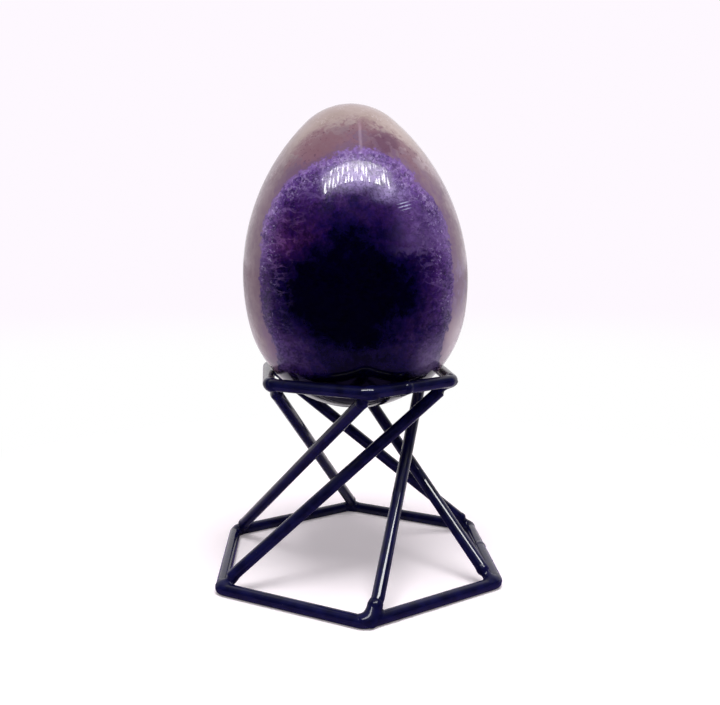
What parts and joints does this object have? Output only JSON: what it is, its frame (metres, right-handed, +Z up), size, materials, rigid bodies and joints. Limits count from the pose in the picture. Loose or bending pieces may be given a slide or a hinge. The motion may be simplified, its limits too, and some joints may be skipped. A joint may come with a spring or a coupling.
{
  "type": "decorative egg on stand",
  "caption": "Polished crystal egg resting loose, blunt end down, in a welded wire stand: a small hexagonal ring above a larger one, joined by slanting straight wires.",
  "frame": {"origin": "the stand's upright axis, at the level of the surface that it stands on", "axes": "+Z up; one corner of the base ring points to -Y, which is the front; +X to the right seen from the front"},
  "size_m": [0.069, 0.0782, 0.1148],
  "materials": {
    "amethyst": "polished",
    "black_enamel": "gloss"
  },
  "bodies": {
    "stand": {"base_ring": "black_enamel", "base_ring_seam_weld": "black_enamel", "top_ring": "black_enamel", "top_ring_seam_weld": "black_enamel", "leg_1": "black_enamel", "leg_2": "black_enamel", "leg_3": "black_enamel", "leg_4": "black_enamel", "leg_5": "black_enamel", "leg_6": "black_enamel", "foot_weld_1": "black_enamel", "foot_weld_2": "black_enamel", "foot_weld_3": "black_enamel", "foot_weld_4": "black_enamel", "foot_weld_5": "black_enamel", "foot_weld_6": "black_enamel", "head_weld_1": "black_enamel", "head_weld_2": "black_enamel", "head_weld_3": "black_enamel", "head_weld_4": "black_enamel", "head_weld_5": "black_enamel", "head_weld_6": "black_enamel"},
    "egg": {"crystal_egg": "amethyst"}
  },
  "joints": [
    {"name": "egg_lift", "type": "slide", "parent": "stand", "child": "egg", "axis": [0, 0, 1], "range_m": [0, 0.06]}
  ]
}
